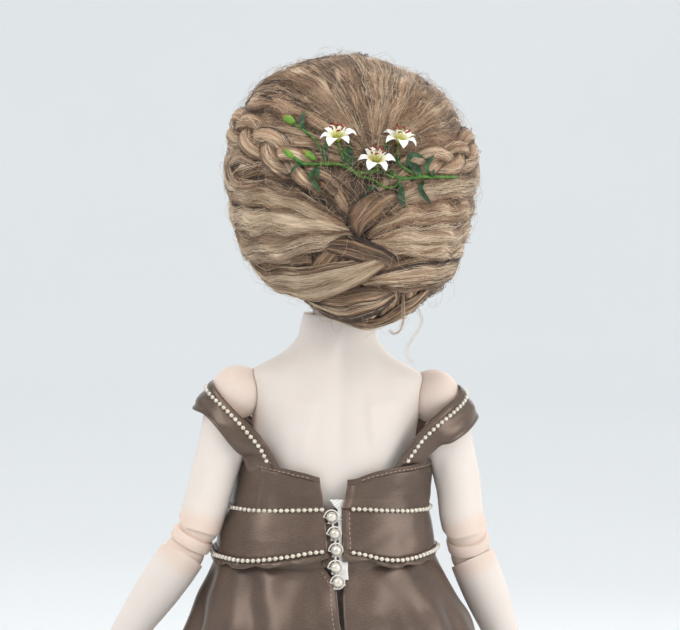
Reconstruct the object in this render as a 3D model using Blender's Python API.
"""A ball jointed doll, about 60 cm tall, in an evening dress with an upswept wig.

The doll faces -Y, its left side is +X and the floor is z = 0. Sizes below are in
millimetres; solid() turns them into metres. Every piece is one closed object.
"""

import math

import bmesh
import bpy
import numpy as np

MM = 0.001

# Where the middle of the doll's waist lies, so that the whole object is centred on the origin.
BODY_X, BODY_Y = -7.0, 0.9

# The pose: how far the chest leans to its right, and how far the head is turned.
CHEST_LEAN = math.radians(-2.0)
HEAD_TURN = math.radians(8.0)

# Heights of the joints.
WAIST_Z, NECK_Z, SHOULDER_Z = 385.0, 502.0, 459.0
HIP_Z, SWIVEL_Z, KNEE_TOP_Z, KNEE_LOW_Z, ANKLE_Z = 325.0, 262.0, 180.0, 164.0, 30.0
SHOULDER_X, HIP_X = 45.2, 25.0

# How far a leg swings forward and back at the hip, in steps, and how far it goes out, in degrees.
HIP_SWEEP, HIP_OUT = (-15.0, 10.0, 35.0, 60.0), 35.0
THIGH_R, THIGH_RIM_R = 21.2, 25.0

# Joint balls, and the space left round each in its socket.
SHOULDER_R, ELBOW_R, WRIST_R = 12.3, 9.3, 5.6
HIP_R, KNEE_R, ANKLE_R, NECK_R, WAIST_R = 15.5, 12.6, 8.0, 13.0, 19.0
GAP = 0.5
SEAM = 0.3
CHANNEL_R = 2.8
ELASTIC_R = 1.2
WALL = 3.2

# The arms: elbow centres and the way each forearm points, for the doll's left (1) and right (-1).
ELBOW_TOP = {1: (61.0, 5.0, 399.7), -1: (-62.4, 4.0, 395.9)}
ELBOW_LOW = {1: (68.0, 3.0, 386.9), -1: (-66.1, -1.5, 382.5)}
ARM_BOW = {1: 0.2, -1: 1.8}
ELBOW_RIM, KNEE_RIM = 30.0, 0.50
FOREARM_WAY = {1: (0.512, -0.309, -0.801), -1: (-0.379, -0.309, -0.872)}
FOREARM_LENGTH = 65.0

# Edges sharper than this stay sharp in the shading.
SHARP_ANGLE = math.radians(40.0)

# Cloth and trimmings.
CLOTH = 0.8
PEARL_R = 1.15
BUTTON_R = 2.4

FORWARD = np.array([0.0, -1.0, 0.0])
UP = np.array([0.0, 0.0, 1.0])


def unit(v):
    v = np.array(v, float)
    return v / np.linalg.norm(v)


def pelvis(points):
    """From the upright body, with x = 0 down its middle, to the doll."""
    return np.array(points, float).reshape(-1, 3)


def chest(points):
    """The same for the chest, which leans at the waist."""
    p = np.array(points, float).reshape(-1, 3)
    c, s = math.cos(CHEST_LEAN), math.sin(CHEST_LEAN)
    z = p[:, 2] - WAIST_Z
    return np.stack([p[:, 0] * c + z * s, p[:, 1], WAIST_Z - p[:, 0] * s + z * c], axis=1)


def head(points):
    """The same for the head, whose own z = 0 is the middle of the neck ball."""
    p = np.array(points, float).reshape(-1, 3)
    c, s = math.cos(HEAD_TURN), math.sin(HEAD_TURN)
    turned = np.stack([p[:, 0] * c - p[:, 1] * s, p[:, 0] * s + p[:, 1] * c, p[:, 2] + NECK_Z], 1)
    return chest(turned)


def head_axes():
    """The head's own side, front to back and up directions."""
    return [unit(head([axis])[0] - head((0, 0, 0))[0]) for axis in ((1, 0, 0), (0, 1, 0), (0, 0, 1))]


def solid(name, points, faces, helper=False):
    """One closed mesh object in metres. A helper only cuts or joins, so it isn't rendered."""
    points = (np.array(points, float) + [BODY_X, BODY_Y, 0.0]) * MM
    mesh = bpy.data.meshes.new(name)
    mesh.from_pydata(points.tolist(), [], [list(map(int, f)) for f in faces])
    shape = bmesh.new()
    shape.from_mesh(mesh)
    bmesh.ops.recalc_face_normals(shape, faces=shape.faces)
    shape.to_mesh(mesh)
    shape.free()
    obj = bpy.data.objects.new(name, mesh)
    bpy.context.scene.collection.objects.link(obj)
    if helper:
        obj.hide_render = True
        obj.display_type = "WIRE"
    return obj


def loft(name, rings, helper=False):
    """A skin over rings of equally many points, closed by a flat cap at each end."""
    rings = [np.array(r, float) for r in rings]
    n = len(rings[0])
    faces = [list(range(n))[::-1], [(len(rings) - 1) * n + k for k in range(n)]]
    for i in range(len(rings) - 1):
        for k in range(n):
            j = (k + 1) % n
            faces.append([i * n + k, i * n + j, (i + 1) * n + j, (i + 1) * n + k])
    return solid(name, np.concatenate(rings), faces, helper)


def egg(z, middle_y, half_wide, front, back, n=20, middle_x=0.0, power=2.0):
    """A level ring whose front and back have their own depths. Over 2, power squares it."""
    ring = []
    for k in range(n):
        c, s = math.cos(2 * math.pi * k / n), math.sin(2 * math.pi * k / n)
        x = math.copysign(abs(c) ** (2 / power), c) * half_wide
        y = math.copysign(abs(s) ** (2 / power), s) * (back if s > 0 else front)
        ring.append((middle_x + x, middle_y + y, z))
    return ring


def frame_of(way):
    """(side, forward, way): three unit vectors at right angles, forward as near -Y as it can be."""
    way = unit(way)
    forward = unit(FORWARD - (FORWARD @ way) * way)
    return np.cross(forward, way), forward, way


def limb(name, start, way, sections, n=12, helper=False):
    """A limb along a line: sections are (distance, half width, half depth, shift forward, sideways)."""
    side, forward, way = frame_of(way)
    angles = 2 * np.pi * np.arange(n) / n
    rings = []
    for t, wide, deep, shift, *aside in sections:
        middle = np.array(start, float) + way * t + forward * shift + side * sum(aside)
        rings.append(
            middle
            + np.outer(np.cos(angles) * wide, side)
            + np.outer(np.sin(angles) * deep, forward)
        )
    return loft(name, rings, helper)


def round_sections(radius, start, end, steps):
    """Sections of a ball of this radius, between two distances from its middle."""
    found = []
    for t in np.linspace(start, end, steps):
        r = math.sqrt(max(radius**2 - t**2, 0.3))
        found.append((t, r, r, 0.0))
    return found


def ball(name, centre, radius, n=16, m=10, way=UP, helper=False):
    side, forward, way = frame_of(way) if abs(unit(way) @ FORWARD) < 0.9 else (
        np.array([1.0, 0, 0]), np.array([0, 0, 1.0]), np.array([0, 1.0, 0]))
    centre = np.array(centre, float)
    points, faces = [centre - way * radius], []
    for i in range(1, m):
        a = math.pi * i / m
        for k in range(n):
            b = 2 * math.pi * k / n
            flat = side * math.cos(b) + forward * math.sin(b)
            points.append(centre - way * radius * math.cos(a) + flat * radius * math.sin(a))
    points.append(centre + way * radius)
    last = len(points) - 1
    for k in range(n):
        j = (k + 1) % n
        faces.append([0, 1 + j, 1 + k])
        faces.append([last, last - n + k, last - n + j])
        for i in range(m - 2):
            a, b = 1 + i * n, 1 + (i + 1) * n
            faces.append([a + k, a + j, b + j, b + k])
    return solid(name, points, faces, helper)


def lump(name, centre, halves, place, n=12, m=7, helper=True):
    """An ellipsoid whose axes are those of the part that place puts it on."""
    rings = []
    for i in range(1, m):
        a = math.pi * i / m
        z = centre[2] - halves[2] * math.cos(a)
        wide, deep = halves[0] * math.sin(a), halves[1] * math.sin(a)
        rings.append(place(egg(z, centre[1], wide, deep, deep, n, centre[0])))
    return loft(name, rings, helper)


def tube(name, path, radii, n=8, helper=False, flat=None):
    """A round cord along a path, or a flat one where flat gives thickness shares and facing."""
    path = np.array(path, float)
    radii = np.broadcast_to(np.array(radii, float), len(path))
    ways = np.gradient(path, axis=0)
    ways /= np.linalg.norm(ways, axis=1)[:, None]
    side = np.cross(ways[0], [0.31, 0.9, 0.17])
    rings = []
    for i, (point, way) in enumerate(zip(path, ways)):
        if flat is not None:
            side = np.cross(way, flat[1][i])
        side = unit(side - (side @ way) * way)
        other = np.cross(way, side)
        share = 1.0 if flat is None else flat[0]
        angles = 2 * np.pi * np.arange(n) / n
        rings.append(
            point
            + np.outer(np.cos(angles), side) * radii[i]
            + np.outer(np.sin(angles), other) * radii[i] * share
        )
    return loft(name, rings, helper)


def smooth_path(points, count):
    """A rounded path through the points, evenly spaced."""
    p = np.array(points, float)
    ends = np.concatenate([[2 * p[0] - p[1]], p, [2 * p[-1] - p[-2]]])
    fine = []
    for i in range(1, len(ends) - 2):
        a, b, c, d = ends[i - 1 : i + 3]
        for u in np.linspace(0, 1, 12, endpoint=False):
            fine.append(
                0.5 * ((2 * b) + (c - a) * u + (2 * a - 5 * b + 4 * c - d) * u**2
                       + (3 * b - a - 3 * c + d) * u**3)
            )
    fine = np.array(fine + [p[-1]])
    run = np.concatenate([[0], np.cumsum(np.linalg.norm(np.diff(fine, axis=0), axis=1))])
    at = np.linspace(0, run[-1], count)
    return np.stack([np.interp(at, run, fine[:, k]) for k in range(3)], axis=1)


def beads(name, path, radius):
    """A string of pearls along a path, as the plain cord that it fills."""
    return tube(name, path, radius, 5)


def sheet(name, grid, thick, helper=False):
    """A piece of cloth over a grid of points, thickened inwards from its outer face."""
    grid = np.array(grid, float)
    rows, columns = grid.shape[:2]
    down, along = np.gradient(grid, axis=0), np.gradient(grid, axis=1)
    normals = np.cross(along, down)
    normals /= np.linalg.norm(normals, axis=2)[:, :, None]
    inner = grid - normals * thick
    points = np.concatenate([grid.reshape(-1, 3), inner.reshape(-1, 3)])
    shift, faces = rows * columns, []
    for i in range(rows - 1):
        for k in range(columns - 1):
            a = i * columns + k
            b, c, d = a + 1, a + columns + 1, a + columns
            faces += [[a, b, c, d], [d + shift, c + shift, b + shift, a + shift]]
    rim = [k for k in range(columns)]
    rim += [i * columns + columns - 1 for i in range(1, rows)]
    rim += [(rows - 1) * columns + k for k in range(columns - 2, -1, -1)]
    rim += [i * columns for i in range(rows - 2, 0, -1)]
    for k, a in enumerate(rim):
        b = rim[(k + 1) % len(rim)]
        faces.append([b, a, a + shift, b + shift])
    return solid(name, points, faces, helper)


def slab(name, point, normal, size=200.0, depth=200.0):
    """A block that starts at a plane and reaches along its normal, to cut all beyond it."""
    normal = unit(normal)
    side = unit(np.cross(normal, [0.37, 0.21, 0.9]))
    other = np.cross(normal, side)
    point = np.array(point, float)
    ring = [side * a * size + other * b * size for a, b in ((1, 1), (-1, 1), (-1, -1), (1, -1))]
    return loft(name, [[point + r for r in ring], [point + normal * depth + r for r in ring]], True)


def rod(name, start, end, radius, n=8):
    way = np.array(end, float) - np.array(start, float)
    length = np.linalg.norm(way)
    return limb(name, start, way, [(0, radius, radius, 0), (length, radius, radius, 0)], n, True)


def block(name, centre, axes, halves):
    """A box cutter with its own axes."""
    a, b, c = (np.array(v, float) * h for v, h in zip(axes, halves))
    centre = np.array(centre, float)
    ring = [a + b, b - a, -a - b, a - b]
    return loft(name, [[centre - c + r for r in ring], [centre + c + r for r in ring]], True)


def combine(obj, others, operation):
    for k, other in enumerate(others):
        modifier = obj.modifiers.new(f"{operation.lower()} {k + 1}", "BOOLEAN")
        modifier.operation = operation
        modifier.object = other
        modifier.solver = "MANIFOLD"
    return obj


def cut(obj, *others):
    return combine(obj, others, "DIFFERENCE")


def join(obj, *others):
    return combine(obj, others, "UNION")


# Pelvis and chest

def leg_way(side, flex, out):
    """The way a thigh points when it swings forward by flex and outward by out, in degrees."""
    flex, out = math.radians(flex), math.radians(out)
    return np.array([side * math.sin(out), -math.cos(out) * math.sin(flex),
                     -math.cos(out) * math.cos(flex)])


CHEST_LEVELS = [
    # height, middle y, half width, front depth, back depth
    (391, 0, 31, 22, 21), (400, 0, 33.5, 25, 22), (412, 0, 36.5, 28, 22.2),
    (424, 0, 37.2, 31.5, 22.5), (434, 0, 37.4, 32, 22.8), (444, 0, 37.8, 29, 22.8),
    (454, 0, 39.6, 24, 22.2), (462, 0, 41, 20, 20.5), (468, 0, 40.5, 17, 18.7),
    (472, 0, 35, 15.5, 17.6), (476, 0, 27.5, 14.6, 17), (480, 0, 22.4, 14, 16.5),
    (485, 0, 18.6, 13.6, 16), (491, 0, 17.2, 13.5, 15.4), (496, 0, 16, 13.5, 14.6),
]
PELVIS_LEVELS = [
    (301, 2, 7, 10, 11), (306, 2, 20, 17, 21), (314, 2, 36, 22, 27), (326, 1, 45, 24, 30),
    (340, 0, 46.5, 25, 29), (354, 0, 43, 24.5, 26), (366, 0, 36.5, 23.5, 23), (376, 0, 31, 22, 21),
]


def shell_of(name, levels, place, wall, from_z, to_z, n=16, power=2.3):
    """A hollow body: an outer skin, and the space inside it between two heights."""
    outer = loft(name, [place(egg(z, y, a, f, b, n, 0, power)) for z, y, a, f, b in levels])
    inside = [v for v in levels if from_z < v[0] < to_z]
    first, last = inside[0], inside[-1]
    inside = [(from_z, *first[1:])] + inside + [(to_z, last[1], *(v * 0.55 for v in last[2:]))]
    rings = [
        place(egg(z, y, max(a - wall, 4), max(f - wall, 4), max(b - wall, 4), 12, 0, power))
        for z, y, a, f, b in inside
    ]
    cut(outer, loft(f"{name} hollow", rings, True))
    return outer


def build_torso():
    upper = shell_of("upper_torso", CHEST_LEVELS, chest, WALL, 384, 462)
    neck = chest((0, 0, NECK_Z))[0]
    column_top = chest((0, 0, 490))[0]
    join(upper, ball("neck ball", neck, NECK_R, 12, 8, helper=True))
    cut(upper, rod("neck channel", neck + [0, 0, 20], chest((0, 0, 452))[0], 6.0))
    waist = pelvis((0, 0, WAIST_Z))[0]
    cut(upper, ball("waist cup", waist, WAIST_R + GAP * 1.2, 14, 8, helper=True))
    for side, word in ((1, "left"), (-1, "right")):
        shoulder = chest((side * SHOULDER_X, 0, SHOULDER_Z))[0]
        out = chest((side * 39.2, 0, SHOULDER_Z))[0]
        way = chest((side * 60, 0, SHOULDER_Z))[0] - out
        inner = chest((side * 15, 0, SHOULDER_Z))[0]
        cut(
            upper,
            slab(f"{word} side cut", out, way, 60, 40),
            ball(f"{word} shoulder socket", shoulder, SHOULDER_R + GAP, 12, 8, way, True),
            rod(f"{word} arm channel", inner, shoulder, 5.0, 10),
        )

    lower = loft("lower_torso", [pelvis(egg(z, y, a, f, b, 16, 0, 2.3))
                                 for z, y, a, f, b in PELVIS_LEVELS])
    join(lower, ball("waist ball", waist, WAIST_R, 14, 8, helper=True))
    rings = [egg(z, 0, a, f, b, 12) for z, a, f, b in
             ((332, 20, 10, 12), (342, 36, 16, 19), (356, 34, 17, 18), (372, 14, 13.5, 13.5),
              (410, 13.5, 13, 13))]
    cut(lower, loft("pelvis hollow", [pelvis(r) for r in rings], True))
    for side, word in ((1, "left"), (-1, "right")):
        hip = np.array([side * HIP_X, 0, HIP_Z])
        toward = unit((-side * 0.42, 0.26, 0.87))
        opening = ball(f"{word} leg opening", hip, THIGH_RIM_R + GAP * 1.3, 14, 8, toward, True)
        cut(opening, slab(f"{word} opening edge", hip + toward * 10.2, toward, 60, 40))
        # The room that the thigh sweeps: forward and back, and the same with the leg out.
        for out in (0.0, HIP_OUT):
            for flex in HIP_SWEEP:
                way = leg_way(side, flex, out)
                cut(lower, rod(f"{word} thigh room {flex:.0f} {out:.0f}", hip + way * 4, hip + way * 50,
                               THIGH_R + GAP, 16))
        cut(
            lower,
            opening,
            ball(f"{word} hip socket", hip, HIP_R + GAP * 1.3, 12, 8, toward, True),
            rod(f"{word} leg channel", hip, hip + np.array([-side * 9, 0, 24]), 4.5),
        )
    return column_top


# Arms

FOREARM_SHARES = [
    # share of the forearm's length, half width, half depth
    (-0.123, 10.3, 10.3), (0, 10.5, 10.6), (0.154, 10.7, 11.0), (0.37, 10.2, 10.6),
    (0.615, 8.8, 8.9), (0.83, 7.4, 7.2), (0.96, 6.9, 6.9),
]


def build_hand(side, word, wrist, way):
    across, forward, way = frame_of(way)
    palm = limb(
        f"{word}_hand", wrist, way,
        [(1.8, 6.9, 6.9, 0), (5, 7.0, 7.4, 0), (10, 5.2, 8.4, 0), (18, 4.6, 9.8, 0),
         (26, 3.9, 10.0, 0), (30, 3.0, 8.6, 0)], 10,
    )
    inward = -across if (across * side)[0] > 0 else across
    fingers = []
    for k, (shift, reach, lean) in enumerate(
        ((7.6, 23, 0.10), (2.6, 27, 0.03), (-2.4, 25.5, -0.04), (-7.0, 20, -0.12))
    ):
        root = wrist + way * 25 + forward * shift
        bend = unit(way + forward * lean)
        path = [root, root + bend * reach * 0.45, root + bend * reach * 0.8 + inward * 1.6,
                root + bend * reach * 1.1 + inward * 4.2]
        fingers.append(tube(f"{word} finger {k + 1}", smooth_path(path, 4), [2.5, 2.4, 2.1, 1.4], 4, True))
    root = wrist + way * 12 + forward * 6.5
    path = [root, root + way * 8 + forward * 6 + inward * 2, root + way * 16 + forward * 8 + inward * 4,
            root + way * 22 + forward * 8 + inward * 5]
    fingers.append(tube(f"{word} thumb", smooth_path(path, 4), [3, 2.8, 2.3, 1.4], 4, True))
    join(palm, *fingers)
    slot = unit(way + forward * 0.001)
    cut(
        palm,
        ball(f"{word} hand cup", wrist, WRIST_R + GAP * 1.4, 10, 6, way, True),
        rod(f"{word} hand channel", wrist, wrist + slot * 16, 2.2, 8),
    )


def build_arm(side, word):
    shoulder = chest((side * SHOULDER_X, 0, SHOULDER_Z))[0]
    top, low = np.array(ELBOW_TOP[side], float), np.array(ELBOW_LOW[side], float)
    wrist = low + unit(FOREARM_WAY[side]) * FOREARM_LENGTH
    upper_way, link_way, lower_way = unit(top - shoulder), unit(low - top), unit(wrist - low)
    reach = float(np.linalg.norm(top - shoulder))
    link_reach = float(np.linalg.norm(low - top))

    # The shoulder ball turns in the torso, and the arm's cup turns on the ball.
    into_chest = unit(chest((0, 0, SHOULDER_Z))[0] - shoulder)
    bead = ball(f"{word}_shoulder_ball", shoulder, SHOULDER_R, 12, 8, into_chest)
    cut(
        bead,
        rod(f"{word} ball bore in", shoulder - into_chest * 2, shoulder + into_chest * 20, CHANNEL_R),
        rod(f"{word} ball bore out", shoulder - upper_way * 1.3, shoulder + upper_way * 20, CHANNEL_R * 1.1, 10),
    )

    across, forward, way = frame_of(upper_way)
    bow = ARM_BOW[side] * math.copysign(1, (across * side)[0])
    arm = limb(
        f"{word}_upper_arm", shoulder, upper_way,
        [(-12, 9.5, 9.5, 0), (-7, 12.4, 12.4, 0), (0, 13.6, 13.6, 0), (9, 12.9, 13.2, 0, bow * 0.4),
         (24, 11.3, 12.2, 0, bow), (42, 10.5, 11.2, 0, bow), (56, 10.3, 10.7, 0, 0),
         (66, 10.3, 10.4, 0)], 12,
    )
    dome = unit((-side * 0.783, 0, 0.622))
    rim_way = unit(upper_way + forward * math.tan(math.radians(ELBOW_RIM)))
    cut(
        arm,
        ball(f"{word} arm cup", shoulder, SHOULDER_R + GAP, 12, 8, dome, True),
        slab(f"{word} arm cup edge", shoulder - dome * 7.6, dome, 60, 60),
        ball(f"{word} elbow cup", top, ELBOW_R + GAP, 12, 7, upper_way, True),
        slab(f"{word} elbow edge", top - rim_way * 1.6, rim_way, 60, 60),
        rod(f"{word} arm channel long", shoulder, top, CHANNEL_R),
    )

    # The elbow link: two balls and a raised band between them.
    half = link_reach
    sections = round_sections(ELBOW_R, -ELBOW_R + 0.4, 4.2, 4)
    sections += [(4.8, 9.85, 9.85, 0), (10.2, 9.85, 9.85, 0)]
    sections += [(half + t, a, b, s) for t, a, b, s in round_sections(ELBOW_R, -4.2, ELBOW_R - 0.4, 4)]
    link = limb(f"{word}_elbow_link", top, link_way, sections, 10)
    l_across, l_forward, _ = frame_of(link_way)
    cut(
        link,
        rod(f"{word} link bore", top - link_way * 12, low + link_way * 12, CHANNEL_R, 6),
        rod(f"{word} link bore up", top + upper_way * 2, top - upper_way * 12, CHANNEL_R * 0.95, 6),
        rod(f"{word} link bore down", low - lower_way * 2, low + lower_way * 12, CHANNEL_R * 0.95, 6),
        block(f"{word} upper slot", top - link_way * 5 + l_forward * 5, (l_across, l_forward, link_way),
              (CHANNEL_R * 0.9, 6.5, 5.5)),
        block(f"{word} lower slot", low + link_way * 5 + l_forward * 5, (l_across, l_forward, link_way),
              (CHANNEL_R * 0.9, 6.5, 5.5)),
    )

    across, forward, way = frame_of(lower_way)
    fore = limb(
        f"{word}_forearm", low, lower_way,
        [(share * FOREARM_LENGTH, wide, deep, 0) for share, wide, deep in FOREARM_SHARES], 12,
    )
    rim_way = unit(-lower_way + forward * math.tan(math.radians(ELBOW_RIM)))
    cut(
        fore,
        ball(f"{word} forearm cup", low, ELBOW_R + GAP, 12, 7, lower_way, True),
        slab(f"{word} forearm edge", low - rim_way * 1.6, rim_way, 60, 60),
        ball(f"{word} wrist cup", wrist, WRIST_R + GAP * 1.4, 10, 6, lower_way, True),
        rod(f"{word} forearm channel", low, wrist, CHANNEL_R),
    )
    pivot = ball(f"{word}_wrist_ball", wrist, WRIST_R, 10, 6, lower_way)
    cut(pivot, rod(f"{word} wrist bore", wrist - lower_way * 9, wrist + lower_way * 9, 2.2, 8))
    build_hand(side, word, wrist, lower_way)
    return [wrist + lower_way * 14, wrist, low, top, shoulder]


# Legs

def build_foot(side, word, x):
    """The foot runs from the heel to the toes along -Y, on a flat sole."""
    rings = []
    for y, wide, high, low_share in (
        (17, 6.5, 15, 0.55), (14, 9.5, 24, 0.85), (6, 10.6, 33, 1), (-4, 10.8, 33, 1),
        (-14, 11.2, 25, 1), (-28, 12.3, 17, 1), (-42, 13.2, 11.5, 1), (-52, 12.4, 9, 1),
        (-58.5, 9.0, 6.5, 0.8),
    ):
        ring = []
        for k in range(10):
            a = 2 * math.pi * k / 10
            c, s = math.cos(a), math.sin(a)
            up = high * (0.5 + 0.5 * s) if s > 0 else high * 0.5 * (1 + max(s * 2.4, -1))
            ring.append((x + wide * c * (1 if s > -0.3 else low_share * 0.94), y, max(up, 0.0)))
        rings.append(ring)
    foot = loft(f"{word}_foot", [pelvis(r) for r in rings])
    ankle = np.array([x, 0, ANKLE_Z])
    cut(
        foot,
        slab(f"{word} foot edge", ankle + [0, 0, -2.2], (0, 0.05, 1), 60, 60),
        ball(f"{word} foot cup", ankle, ANKLE_R + GAP * 1.3, 10, 6, UP, True),
        rod(f"{word} foot channel", ankle, ankle - [0, 0, 20], 2.2, 8),
    )


def build_leg(side, word):
    x = side * HIP_X
    hip = np.array([x, 0, HIP_Z])
    knee_top, knee_low = np.array([x, 0, KNEE_TOP_Z]), np.array([x, 0, KNEE_LOW_Z])
    ankle = np.array([x, 0, ANKLE_Z])
    down = np.array([0, 0, -1.0])

    bead = ball(f"{word}_hip_ball", hip, HIP_R, 12, 8)
    cut(
        bead,
        rod(f"{word} hip bore down", hip + [0, 0, 2], hip - [0, 0, 22], CHANNEL_R),
        rod(f"{word} hip bore up", hip, hip + np.array([-side * 8, 0, 21.3]), CHANNEL_R),
    )

    sections = [(-9, 18.5, 17.5, 0), (-3, 19.9, 19.6, 0), (8, 20.4, 20.8, 0), (24, 20.3, 21.2, 0),
                (44, 19.2, 20.2, 0), (HIP_Z - SWIVEL_Z - SEAM / 2, 18.3, 19.2, 0)]
    upper = limb(f"{word}_upper_thigh", hip, down, sections, 12)
    cut(
        upper,
        ball(f"{word} thigh cup", hip, HIP_R + GAP * 1.3, 12, 8, UP, True),
        slab(f"{word} thigh edge", hip + [0, 0, -9.6], (0, -0.20, 1), 60, 60),
        rod(f"{word} thigh channel", hip, hip - [0, 0, 90], 4.0),
        rod(f"{word} swivel seat", (x, 0, SWIVEL_Z + 9), (x, 0, SWIVEL_Z - 20), 9.3, 14),
    )
    lower = limb(
        f"{word}_lower_thigh", (x, 0, SWIVEL_Z), down,
        [(SEAM / 2, 18.3, 19.2, 0), (20, 17.2, 18.0, 0), (45, 15.8, 16.2, 0),
         (70, 14.7, 14.9, 0), (92, 14.3, 14.3, 0)], 12,
    )
    join(lower, rod(f"{word} swivel peg", (x, 0, SWIVEL_Z + 8.4), (x, 0, SWIVEL_Z - 6), 8.8, 14))
    bend_back = unit(down + np.array([0, KNEE_RIM, 0]))
    cut(
        lower,
        ball(f"{word} knee cup", knee_top, KNEE_R + GAP * 1.7, 12, 7, UP, True),
        slab(f"{word} knee edge", knee_top - bend_back * 2.2, bend_back, 60, 60),
        rod(f"{word} lower thigh channel", (x, 0, SWIVEL_Z + 20), knee_top, 4.0),
    )

    reach = KNEE_TOP_Z - KNEE_LOW_Z
    sections = round_sections(KNEE_R, -KNEE_R + 0.5, 4.6, 4)
    sections += [(5.4, 13.2, 13.2, 0), (reach - 5.4, 13.2, 13.2, 0)]
    sections += [(reach + t, a, b, s) for t, a, b, s in round_sections(KNEE_R, -4.6, KNEE_R - 0.5, 4)]
    link = limb(f"{word}_knee_link", knee_top, down, sections, 12)
    axes = (np.array([1.0, 0, 0]), np.array([0, 1.0, 0]), UP)
    cut(
        link,
        rod(f"{word} knee bore", knee_top + [0, 0, 16], knee_low - [0, 0, 16], CHANNEL_R),
        block(f"{word} knee slot top", knee_top + [0, 7, 7], axes, (CHANNEL_R * 0.9, 8, 7)),
        block(f"{word} knee slot low", knee_low + [0, 7.3, -7.2], axes, (CHANNEL_R * 0.87, 8, 6.9)),
    )

    shin = limb(
        f"{word}_shin", knee_low, down,
        [(-9, 13.8, 13.8, 0), (0, 14.4, 14.4, 0), (22, 14.8, 16.0, -1.6),
         (54, 13.7, 15.0, -2), (84, 11.0, 11.6, -0.8), (110, 9.4, 9.8, 0), (124, 9.2, 9.4, 0),
         (KNEE_LOW_Z - ANKLE_Z - 2.2, 9.3, 9.3, 0)], 12,
    )
    bend_back = unit(np.array([0, KNEE_RIM, 1.0]))
    cut(
        shin,
        ball(f"{word} shin cup", knee_low, KNEE_R + GAP * 1.7, 12, 7, UP, True),
        slab(f"{word} shin edge", knee_low - bend_back * 2.2, bend_back, 60, 60),
        ball(f"{word} ankle cup", ankle, ANKLE_R + GAP * 1.3, 10, 6, UP, True),
        rod(f"{word} shin channel", knee_low, ankle, CHANNEL_R),
    )
    pivot = ball(f"{word}_ankle_ball", ankle, ANKLE_R, 10, 6)
    cut(pivot, rod(f"{word} ankle bore", ankle + [0, 0, 12], ankle - [0, 0, 12], 2.2, 8))
    build_foot(side, word, x)
    return [ankle - [0, 0, 16], ankle, knee_low, knee_top, hip]


# Elastics, and the hook that holds the head

def build_stringing(left_arm, right_arm, left_leg, right_leg):
    chest_middle = chest((0, 5.4, SHOULDER_Z))[0]
    path = left_arm + [chest_middle] + right_arm[::-1]
    tube("arm_elastic", path, ELASTIC_R, 6)
    for word, path, side in (("left", left_leg, 1), ("right", right_leg, -1)):
        bottom = chest((side * 2.6, 0, 449))[0]
        over_hip = path[-1] + np.array([-side * 9.5, 0, 25.5])
        waist = np.array([side * 7.0, 0, WAIST_Z])
        tube(f"{word}_leg_elastic", path + [over_hip, waist, bottom], ELASTIC_R, 6)
    # The hook hangs in the neck: a long wire, bent over at the top behind the button.
    wire = [(0, 0, 467), (0, 0, 480), (0, 0, 500), (0, 0, 519), (0, 0, 525)]
    hook = tube("neck_hook", chest(wire), [1.3, 1.3, 1.3, 1.3, 1.3], 6)
    join(
        hook,
        tube("hook eye", chest([(0, 0, 468.6), (-3.2, 0, 466), (-4.2, 0, 462), (-1.6, 0, 455.6),
                                (2.2, 0, 455.6), (4.2, 0, 459)]), 1.2, 6, True),
        tube("hook top", chest([(0, 0, 523.9), (3, 0, 525.2), (6, 0, 524.6), (8.5, 0, 522)]),
             1.2, 8, True),
    )
    # The button is a shallow dish, round the same middle as the neck ball.
    dish = ball("neck_button", head((0, 0, 0))[0], 19.2, 12, 9)
    cut(
        dish,
        ball("button under", head((0, 0, 0))[0], 17.2, 12, 9, helper=True),
        slab("button edge", head((0, 0, 14.2))[0], -UP, 60, 60),
        block("button slot", head((0, 0, 20))[0], head_axes(), (2.0, 6.5, 12.0)),
    )


# Head

HEAD_LEVELS = [
    # height, middle y, half width, front depth, back depth
    (0.2, -3, 15.2, 13, 15.5), (4, -10, 19, 26, 24), (8, -12, 22.5, 29, 28), (17, -9, 27.5, 33, 31),
    (29, -7, 31.5, 36, 35), (44, -7, 34.2, 38, 38), (60, -7, 35, 38.5, 39), (74, -7, 33, 36, 37.5),
    (85, -6, 26, 29, 31), (92, -5, 16, 18, 20), (95, -4, 6, 7, 7),
]


def head_skin(name, grow, n=16, helper=True, low=None):
    """The outside of the head, moved out by grow."""
    rings = []
    for z, y, a, f, b in HEAD_LEVELS:
        share = 1.0 if z < 90 else 0.0
        z = z + grow * (1 - share) if z > 50 else z - grow * (z < 1)
        if low is None or z > low:
            rings.append(head(egg(z, y, a + grow, f + grow, b + grow, n)))
    return loft(name, rings, helper)


def skull(name):
    """The hollow head before it is split: the cavity stops short of the dish over the neck."""
    outer = head_skin(name, 0, helper=False)
    if name == "head":
        nose = loft("nose", [head([(-4.6, -40, z0), (0, -41.5 - d, z0 + 0.4), (4.6, -40, z0), (0, -36, z0)])
                             for z0, d in ((29, 1.5), (31, 6.2), (34, 6.0), (44, 2.0), (50, 0.5))], True)
        lips = lump("lips", (0, -40.8, 21.5), (7.2, 3.6, 3.2), head)
        chin = lump("chin", (0, -33.5, 9.5), (8, 6.2, 6.0), head)
        join(outer, nose, lips, chin)
    rings = [head(egg(10.3, -3, 17, 17, 15.5, 14))]
    for z, y, a, f, b in HEAD_LEVELS[3:9]:
        rings.append(head(egg(z, y, a - 4, f - 4, b - 4, 14)))
    rings.append(head(egg(90.5, -5, 10, 12, 12, 14)))
    cavity = loft(f"{name} cavity", rings, True)
    cut(cavity, ball(f"{name} dish", head((0, 0, 0))[0], 16.4, 14, 10, helper=True))
    cut(outer, cavity)
    return outer


SPLIT_AT, SPLIT_WAY = (0.0, 4.0, 62.0), (0.0, 0.80, 0.60)
EYE_X, EYE_Y, EYE_Z, EYE_R = 14.2, -34.2, 42.0, 7.0


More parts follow.
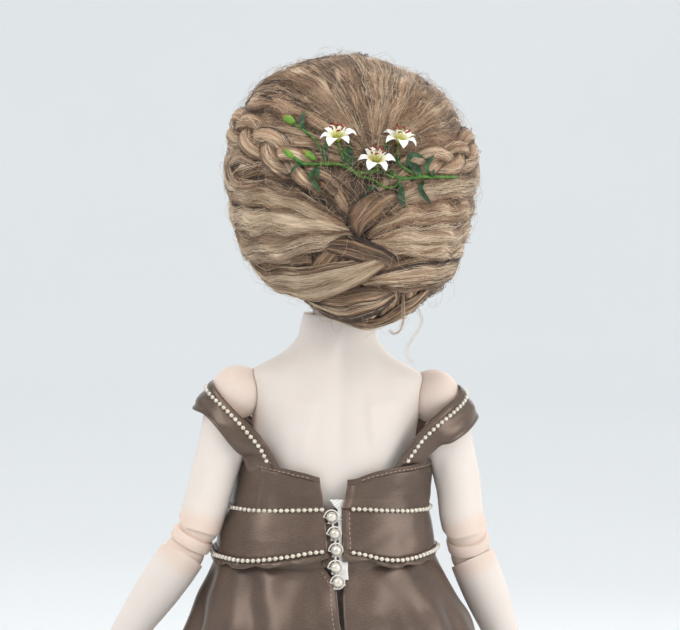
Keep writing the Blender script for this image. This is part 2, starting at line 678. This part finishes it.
def build_head():
    way = unit(head([SPLIT_WAY])[0] - head((0, 0, 0))[0])
    at = head(SPLIT_AT)[0]
    face = skull("head")
    middle = head((0, 0, 0))[0]
    cut(
        face,
        slab("cap line", at - way * SEAM / 2, way),
        ball("head cup", middle, NECK_R + GAP, 14, 9, helper=True),
        rod("head hole", middle, head((0, 0, 24))[0], 7.0, 16),
    )
    for side, word in ((1, "left"), (-1, "right")):
        eye = head((side * EYE_X, EYE_Y, EYE_Z))[0]
        ball(f"{word}_eye", eye, EYE_R, 10, 6, FORWARD)
        opening = [head([(side * EYE_X + 5.6 * math.cos(a), y, EYE_Z + 3.3 * math.sin(a))
                         for a in 2 * np.pi * np.arange(8) / 8])
                   for y in (EYE_Y, -60)]
        cut(
            face,
            ball(f"{word} eye seat", eye, EYE_R + SEAM * 1.6, 10, 6, FORWARD, True),
            loft(f"{word} eye opening", opening, True),
        )
    cut(skull("head_cap"), slab("face line", at + way * SEAM / 2, -way))

    cap = head_skin("wig_cap", 2.0, 12, helper=False, low=10)
    cut(
        cap,
        slab("cap hem", head((0, -30, 62))[0], unit((0, -0.72, -0.69)), 120, 120),
        head_skin("wig cap inside", 1.3, 12),
    )


# Wig

WIG_LEVELS = [
    # height, middle x, middle y, half width, front depth, back depth
    (-12, -3.5, 34, 9, 5, 8), (-6, -3, 32, 25, 11, 20), (3, -2.5, 29, 36, 15, 29),
    (10, -1.5, 25, 44, 26, 35), (22, 0, 20, 51, 40, 41.5), (41, 0, 17, 56.1, 50, 44.5),
    (60, 0, 15, 58.4, 54, 44), (78, 0, 12, 54.3, 53, 41), (97, 0, 8, 45.3, 46, 34),
    (108, 0, 4, 29, 31, 24), (113.5, 0, 2, 11, 13, 10),
]


def wig_section(z):
    table = np.array(WIG_LEVELS, float)
    return [float(np.interp(z, table[:, 0], table[:, k])) for k in range(1, 6)]


def wig_back(x, z):
    """How far back the wig's surface is, behind the head's middle, at a place seen from behind."""
    middle_x, middle_y, wide, _, back = wig_section(z)
    share = min(abs(x - middle_x) / wide, 0.995)
    return middle_y + back * math.sqrt(1 - share * share)


def on_wig(across, up, lift):
    """A place on the back of the wig, from how far across and up it is seen, lift mm off it."""
    z = up - NECK_Z
    turn = math.radians(15.0)
    x, y = across, 50.0
    for _ in range(12):
        x = (across + 1.2 + y * math.sin(turn)) / math.cos(turn)
        y = wig_back(x, z)
    step = 1.5
    slope_x = (wig_back(x + step, z) - wig_back(x - step, z)) / (2 * step)
    slope_z = (wig_back(x, z + step) - wig_back(x, z - step)) / (2 * step)
    normal = unit((-slope_x, 1.0, -slope_z))
    at = np.array([x, y, z]) + normal * lift
    return head(at)[0], unit(head(at + normal)[0] - head(at)[0])


# Each lock: its path as seen from behind (across, up), its half widths, and how far it stands off.
LOCKS = {
    "left braid": ([(47, 578), (36, 572), (26, 566), (14, 558), (4, 552)],
                   [5.5, 8.2, 7.2, 7.8, 5.0], 1.5, 0.62),
    "right braid": ([(-58, 574), (-52, 566), (-42, 560), (-30, 556), (-24, 553)],
                    [5.5, 7.5, 7.0, 7.0, 5.0], 1.5, 0.62),
    "left swoop": ([(45, 556), (40, 540), (28, 531), (12, 530), (-6, 534)],
                   [8, 13, 12.5, 11, 6], 0.5, 0.42),
    "right swoop": ([(-60, 560), (-58, 545), (-48, 536), (-32, 533), (-14, 532)],
                    [8, 13, 13, 11, 6], 0.5, 0.42),
    "crossing lock": ([(14, 520), (4, 527), (-8, 530), (-20, 528), (-31, 525)],
                      [6, 8, 8, 7, 4], 2.5, 0.5),
    "under lock left": ([(36, 515), (26, 508), (12, 505), (-2, 511), (-14, 518)],
                        [4, 8, 9, 8, 5], 0.8, 0.5),
    "under lock right": ([(-47, 516), (-40, 523), (-28, 522), (-16, 514), (-6, 510)],
                         [4, 7.5, 8, 7, 4], 1.8, 0.5),
    "bottom lock": ([(14, 502), (4, 498), (-8, 496), (-20, 500), (-26, 508)],
                    [4, 7, 8, 7, 4], 0.8, 0.5),
}


def stand(across, up, reach=4.0):
    """How far the locks stand off the wig, at the highest place within reach of here."""
    here, most = np.array([across, up]), 0.0
    for path, widths, lift, share in LOCKS.values():
        flat = [(x, 0.0, z) for x, z in path]
        line = smooth_path(flat, 25)[:, [0, 2]]
        wide = np.interp(np.linspace(0, 1, 25), np.linspace(0, 1, 5), widths)
        away = np.maximum(np.linalg.norm(line - here, axis=1) - reach, 0.0) / wide
        heights = lift + share * wide * np.sqrt(np.maximum(1 - away**2, 0.0))
        most = max(most, float(np.where(away < 1, heights, 0.0).max()))
    return most


def build_wig():
    rings = [head(egg(z, y, a, f, b, 16, x)) for z, x, y, a, f, b in WIG_LEVELS]
    wig = loft("wig", rings)
    for name, (path, widths, lift, share) in LOCKS.items():
        places = [on_wig(x, z, lift) for x, z in path]
        line = smooth_path([p for p, _ in places], 7)
        facing = [unit(n) for n in smooth_path([n for _, n in places], 7)]
        widths = np.interp(np.linspace(0, 1, 7), np.linspace(0, 1, 5), widths)
        join(wig, tube(name, line, widths, 6, True, (share, facing)))
    face = lump("face opening", (0, -58, 36), (38, 40, 45), head, 18, 10)
    neck = rod("neck room", head((0, -2, -30))[0], head((0, -2, 3))[0], 20, 18)
    cut(wig, head_skin("wig inside", 2.7), face, neck,
        slab("jaw line", head((0, -14, 20))[0], (0, -0.80, -0.60), 120, 60))


# Lily spray, laid over the back of the wig

LILIES = ((1.1, 576.6), (-15.6, 566.1), (-25.9, 575.5))
LILY_R = 8.4
STEMS = [
    # the first is the main stem, and the others end on it
    [(21.5, 567.2), (11.7, 564.9), (-2.3, 564.9), (-9, 562.4), (-17, 561.6)],
    [(20.5, 582), (14.5, 575.5), (8, 564.9)],
    [(-52.3, 558.7), (-37.6, 558.4), (-26.5, 558.4), (-22.3, 555.8), (-18.5, 557), (-17.2, 561.8)],
]
LEAVES = [
    # root, bend and tip across and up, and half width
    [(14.5, 575.5), (17.5, 581), (16, 588), 1.5],
    [(20, 566.5), (24.5, 560), (21.5, 554.5), 1.5],
    [(11.7, 564.9), (10.2, 557), (13, 550.5), 1.6],
    [(7.5, 565.2), (6.4, 571.5), (8.4, 577), 1.6],
    [(-4.2, 564.9), (-4.6, 570.4), (-8, 575.4), 2.4],
    [(-9, 562.4), (-12.4, 557.5), (-10.4, 551.6), 1.9],
    [(-24.5, 557.2), (-20, 566.6), (-23.8, 572), 1.7],
    [(-32, 558.4), (-37, 565.6), (-43.4, 568.5), 1.9],
    [(-37.6, 558.4), (-39.4, 563), (-36, 570.5), 1.6],
    [(-26.5, 558.4), (-29.8, 551), (-29.4, 544.4), 1.7],
    [(-33.6, 558.4), (-36.6, 551.8), (-41.1, 545.8), 1.8],
]
BUDS = [(23.1, 584), (23.5, 569), (14, 568.4)]
STALKS = [
    [(-2.3, 564.9), (-0.4, 570.5), (1.1, 576.6)],
    [(-17, 561.6), (-16.2, 564), (-15.6, 566.1)],
    [(-24.5, 557.2), (-25.8, 566), (-25.9, 575.5)],
]
STEM_R, SPRAY_GAP, LILY_GAP = 0.75, 0.35, 0.5


def on_hair(across, up, lift=0.0):
    """A place on the spray, which rests on the locks."""
    return on_wig(across, up, stand(across, up) + STEM_R + SPRAY_GAP + lift)


def stem_path(points, count):
    """A stem's line over the hair, from its places as seen from behind."""
    flat = smooth_path([(x, 0.0, z) for x, z in points], count)
    line = np.array([on_hair(x, z)[0] for x, _, z in flat])
    line[1:-1] = (line[:-2] + line[1:-1] * 2 + line[2:]) / 4
    return line


def nearest(place, lines):
    """The point of the lines that is nearest to a place."""
    points = np.concatenate([smooth_path(line, 60) for line in lines])
    return points[np.argmin(np.linalg.norm(points - place, axis=1))]


def build_spray():
    lines = []
    for path in STEMS + STALKS:
        line = stem_path(path, 3 + len(path))
        if lines:
            line[-1 if path in STEMS else 0] = nearest(line[-1 if path in STEMS else 0], lines)
        lines.append(line)
    spray = tube("lily_stems", lines[0], STEM_R, 4)
    for k, line in enumerate(lines[1:]):
        join(spray, tube(f"stem {k + 2}", line, STEM_R, 4, True))
    stems = lines[:len(STEMS)]
    for k, (root, bend, tip, wide) in enumerate(LEAVES):
        places = [on_hair(*root), on_hair(*bend, 1.2), on_hair(*tip, 0.6)]
        line = smooth_path([nearest(places[0][0], stems)] + [p for p, _ in places[1:]], 4)
        facing = smooth_path([n for _, n in places], 4)
        widths = np.array([0.6, 1.0, 0.9, 0.16]) * wide
        join(spray, tube(f"leaf {k + 1}", line, widths, 4, True, (0.32, facing)))
    for k, (x, z) in enumerate(BUDS):
        middle, _ = on_hair(x, z, 0.9)
        root = nearest(on_hair(x - 4.4 if k < 2 else x - 3.6, z - 3.2)[0], stems)
        way = unit(middle - root)
        line = [root, middle - way * 2.6, middle, middle + way * 4.4]
        join(spray, tube(f"bud {k + 1}", line, [0.7, 1.0, 1.9, 0.4], 4, True))

    for k, (x, z) in enumerate(LILIES):
        middle, out = on_hair(x, z, STEM_R + LILY_GAP)
        side = unit(np.cross(UP, out))
        up = np.cross(out, side)
        n, rings = 12, []
        profile = [(0.07, -0.2), (0.42, 2.7), (1.0, 3.9)]
        thick = 0.5
        for share, height in profile + [(s, h + thick) for s, h in profile[::-1]]:
            ring = []
            for j in range(n):
                a = 2 * math.pi * j / n
                point = 0.5 + 0.5 * math.cos(6 * a)
                reach = LILY_R * share * (1 - 0.62 * (1 - point) * min(share * 1.5, 1))
                droop = -1.6 * point * share**3
                ring.append(middle + side * math.cos(a) * reach + up * math.sin(a) * reach
                            + out * (height + droop))
            rings.append(ring)
        loft(f"lily_{k + 1}", rings)


# Dress

BODICE_LEVELS = [
    # height, middle x, half width, front depth, back depth
    (384, 2.4, 50.6, 42, 38), (388, 2.4, 49.6, 41, 36.2), (394, 2.4, 49.4, 40, 33.6),
    (401, 1.9, 47.2, 38.5, 30.8), (407, 1.1, 44.6, 37.5, 28.6), (414, 0.3, 43.9, 36.5, 26.8),
    (424, -0.6, 42.6, 36, 25.6), (431, -0.7, 40.4, 35.4, 25.2), (441, 0, 39.8, 34, 25.2),
]
OPENING_LEFT, OPENING_RIGHT = 6.6, -2.6
CLOTH_POWER = 2.35


def bodice_at(angle, z, grow=0.0, place=chest):
    """A place on the bodice: 0 is the doll's left side, 90 degrees its back, 270 its front."""
    table = np.array(BODICE_LEVELS, float)
    x0, a, f, b = (float(np.interp(z, table[:, 0], table[:, k])) for k in range(1, 5))
    c, s = math.cos(angle), math.sin(angle)
    x = x0 + math.copysign(abs(c) ** (2 / CLOTH_POWER), c) * (a + grow)
    y = math.copysign(abs(s) ** (2 / CLOTH_POWER), s) * ((b if s > 0 else f) + grow)
    return np.array(place((x, y, z))[0])


def back_angle(x, z):
    """The angle at which the back of the bodice is x mm from the middle."""
    table = np.array(BODICE_LEVELS, float)
    x0, a = (float(np.interp(z, table[:, 0], table[:, k])) for k in (1, 2))
    share = (x - x0) / a
    return math.acos(math.copysign(abs(share) ** (CLOTH_POWER / 2), share))


def around(z, count):
    """Angles from the left edge of the back opening, round the front, to its right edge."""
    return np.linspace(back_angle(OPENING_LEFT, z), back_angle(OPENING_RIGHT, z) - 2 * math.pi, count)


def top_edge(angle):
    """The height of the bodice's upper edge: low at the back opening, higher at the front."""
    turn = (math.degrees(angle) + 360) % 360
    turns = [0, 35, 60, 78, 92, 102, 120, 145, 180, 215, 240, 255, 270, 285, 300, 325, 360]
    heights = [430.6, 428.2, 424.5, 421.5, 417.5, 418.5, 423.5, 428.5, 430.6, 433, 438, 438.5, 434,
               438.5, 438, 433, 430.6]
    return float(np.interp(turn, turns, heights))


def build_bodice():
    count = 25
    grid = []
    for share in (0, 0.3, 0.7, 1):
        row = []
        for k, angle in enumerate(around(407.4, count)):
            z = 407.4 + (top_edge(angle) - 407.4) * share
            row.append(bodice_at(around(z, count)[k], z))
        grid.append(row)
    sheet("bodice", grid[::-1], CLOTH)

    grid = []
    for z in (406.6, 400, 391.5, 386.6):
        wave = [0.0 if z > 388 else 0.7 * math.sin(k * 0.9) for k in range(count)]
        grid.append([bodice_at(a, z + w, 0.0 if z > 390 else 0.4)
                     for a, w in zip(around(z, count), wave)])
    sheet("midriff_panel", grid, CLOTH)

    # The tape of elastic loops lies in the back opening, and the pearl buttons on it.
    grid = []
    for z in (412.5, 404, 396, 389, 383.5, 378.5):
        grid.append([bodice_at(back_angle(x, max(z, 384)), max(z, 384)) + [0, max(384 - z, 0) * 0.35, min(z - 384, 0)]
                     for x in (OPENING_RIGHT + 0.8, 1.6, 3.8, OPENING_LEFT - 0.8)])
    sheet("loop_tape", np.array(grid) - [0, 0.3, 0], 1.0)
    places = []
    for x, z in ((3.9, 406.2), (2.6, 399.0), (2.0, 391.9), (2.4, 384.6), (1.6, 378.2)):
        at = bodice_at(back_angle(x, max(z, 384)), max(z, 384)) + [0, max(384 - z, 0) * 0.35, min(z - 384, 0)]
        places.append(at + np.array([0, BUTTON_R + 0.35, 0]))
    strand = tube("button_pearls", [places[0] + [0, 0, 2.0]] + places + [places[-1] - [0, 0, 2.0]], 0.5, 5)
    join(strand, *(ball(f"pearl button {k + 1}", at, BUTTON_R, 6, 4, helper=True)
                   for k, at in enumerate(places)))


def build_trims():
    start, end = back_angle(OPENING_LEFT + 1.6, 407), back_angle(OPENING_RIGHT - 3, 407)
    angles = np.linspace(start, end - 2 * math.pi, 32)
    grow = PEARL_R + 0.5
    beads("upper_pearls", [bodice_at(a, 407.0, grow) for a in angles], PEARL_R)
    path = []
    start, end = back_angle(OPENING_LEFT + 1.6, 388), back_angle(OPENING_RIGHT - 3, 388)
    for a in np.linspace(start, end - 2 * math.pi, 32):
        path.append(bodice_at(a, 387.6 + 1.7 * abs(math.sin(a)) ** 3, grow + 0.6))
    beads("lower_pearls", path, PEARL_R)


STRAP = [
    # upper edge and lower edge, from the back round the arm to the front
    ((28.4, 21.9, 427.6), (41.6, 13.0, 431.9)), ((35.4, 21.6, 437.4), (47.0, 15.4, 435.8)),
    ((42.6, 19.6, 446.7), (52.6, 16.6, 439.8)), ((49.8, 15.6, 456.2), (58.2, 13.4, 446.8)),
    ((54.2, 9.8, 463.4), (62.8, 7.6, 450.8)), ((56.6, 0.8, 467.6), (64.6, 0.0, 451.6)),
    ((54.4, -9.4, 463.6), (62.8, -8.2, 450.8)), ((49.8, -16.2, 456.6), (58.0, -14.8, 446.8)),
    ((42.4, -22.4, 449), (51.4, -19.4, 441.8)), ((33.2, -29.6, 442), (43.2, -23.6, 436.4)),
]
STRAP_STAND = 0.9


def build_strap(side, word):
    grid, pearls = [], []
    upper = smooth_path([u for u, _ in STRAP], 13)
    lower = smooth_path([v for _, v in STRAP], 13)
    for share in (0, 0.2, 0.6, 1):
        puff = 0.9 * math.sin(math.pi * share)
        row = []
        for u, v in zip(upper, lower):
            out = unit([(u[0] + v[0]) / 2 - 38, (u[1] + v[1]) / 2, 0])
            row.append(u + (v - u) * share + out * (puff + STRAP_STAND))
        grid.append(row)
    grid = np.array([chest(row * np.array([side, 1, 1])) for row in np.array(grid)])
    if side < 0:
        grid = grid[:, ::-1]
    sheet(f"{word}_strap", grid, CLOTH)
    along, down = np.gradient(grid, axis=1), np.gradient(grid, axis=0)
    out = np.cross(along, down)
    out /= np.linalg.norm(out, axis=2)[:, :, None]
    pearls = grid[1] * 0.85 + grid[2] * 0.15 + out[1] * (PEARL_R + 0.5)
    beads(f"{word}_strap_pearls", pearls[1:-1], PEARL_R)


SKIRT_LEVELS = [
    # height, middle x, half width, front depth, back depth, depth of the folds
    (383.2, 2.4, 50.6, 40.5, 34.6, 0.0), (374, 1.6, 54.4, 45, 39, 0.3), (364, 0.7, 59.4, 50, 44, 0.8),
    (350, -1.0, 65.6, 56, 51, 1.6), (316, 0.6, 75, 67, 63, 3.2), (260, 2, 92, 83, 81, 5.4),
    (196, 2, 112, 100, 99, 7.4),
]
FOLDS = 11


def skirt_at(angle, z):
    table = np.array(SKIRT_LEVELS, float)[::-1]
    x0, a, f, b, fold = (float(np.interp(z, table[:, 0], table[:, k])) for k in range(1, 6))
    c, s = math.cos(angle), math.sin(angle)
    more = fold * math.cos(FOLDS * angle + 0.6)
    return np.array([x0 + c * (a + more), s * ((b if s > 0 else f) + more), z])


def build_skirt(side, word):
    grid = []
    for z in [v[0] for v in SKIRT_LEVELS]:
        table = np.array(SKIRT_LEVELS, float)[::-1]
        x0, a = (float(np.interp(z, table[:, 0], table[:, k])) for k in (1, 2))
        opening = np.interp(z, [350, 372], [0.25, 4.6])
        start = math.acos((2.0 + side * opening - x0) / a)
        end = math.acos((side * 0.25 - x0) / a)
        first, last = (start, -end) if side > 0 else (start, 2 * math.pi - end)
        grid.append([pelvis(skirt_at(t, z))[0] for t in np.linspace(first, last, 18)])
    grid = np.array(grid)
    if side < 0:
        grid = grid[:, ::-1]
    sheet(f"{word}_skirt", grid, CLOTH)


# Finishes, places of the pieces' origins, and collections

FINISHES = {
    # colour, roughness, metallic
    "resin": ((0.82, 0.74, 0.67), 0.5, 0.0),
    "satin": ((0.11, 0.075, 0.054), 0.38, 0.3),
    "pearl": ((0.70, 0.63, 0.54), 0.2, 0.4),
    "tape": ((0.78, 0.76, 0.73), 0.8, 0.0),
    "elastic": ((0.84, 0.82, 0.78), 0.7, 0.0),
    "steel": ((0.45, 0.46, 0.47), 0.28, 1.0),
    "glass": ((0.10, 0.13, 0.14), 0.08, 0.0),
    "mohair": ((0.32, 0.19, 0.10), 0.5, 0.0),
    "net": ((0.26, 0.16, 0.09), 0.85, 0.0),
    "petal": ((0.92, 0.91, 0.85), 0.5, 0.0),
    "leaf": ((0.05, 0.14, 0.02), 0.45, 0.0),
}
# The words in a piece's name that give it a finish other than resin, the first that fits.
FINISH_WORDS = [
    ("elastic", "elastic"), ("pearls", "pearl"), ("hook", "steel"), ("button", "steel"), ("eye", "glass"),
    ("wig_cap", "net"), ("wig", "mohair"), ("stems", "leaf"), ("lily", "petal"), ("tape", "tape"),
    ("bodice", "satin"), ("midriff", "satin"), ("strap", "satin"), ("skirt", "satin"),
]


def finish_of(name):
    return next((finish for word, finish in FINISH_WORDS if word in name), "resin")


def finish_pieces():
    """Gives each piece its material, shading and collection. Cutters have a collection of their own."""
    doll, cutters = (bpy.data.collections.new(name) for name in ("Ball jointed doll", "Cutters"))
    for group in (doll, cutters):
        bpy.context.scene.collection.children.link(group)
    for obj in list(bpy.context.scene.collection.objects):
        (cutters if obj.hide_render else doll).objects.link(obj)
        bpy.context.scene.collection.objects.unlink(obj)
        if obj.hide_render:
            continue
        finish = finish_of(obj.name)
        colour, roughness, metallic = FINISHES[finish]
        material = bpy.data.materials.new(f"{obj.name} {finish}")
        material.use_nodes = True
        shader = material.node_tree.nodes["Principled BSDF"]
        shader.inputs["Base Color"].default_value = (*colour, 1.0)
        shader.inputs["Roughness"].default_value = roughness
        shader.inputs["Metallic"].default_value = metallic
        obj.data.materials.append(material)
        obj.data.shade_smooth()
        obj.data.set_sharp_from_angle(angle=SHARP_ANGLE)


def main():
    for obj in list(bpy.data.objects):
        bpy.data.objects.remove(obj)
    build_torso()
    left_arm, right_arm = build_arm(1, "left"), build_arm(-1, "right")
    left_leg, right_leg = build_leg(1, "left"), build_leg(-1, "right")
    build_stringing(left_arm, right_arm, left_leg, right_leg)
    build_head()
    build_wig()
    build_spray()
    build_bodice()
    build_trims()
    for side, word in ((1, "left"), (-1, "right")):
        build_strap(side, word)
        build_skirt(side, word)
    finish_pieces()


main()
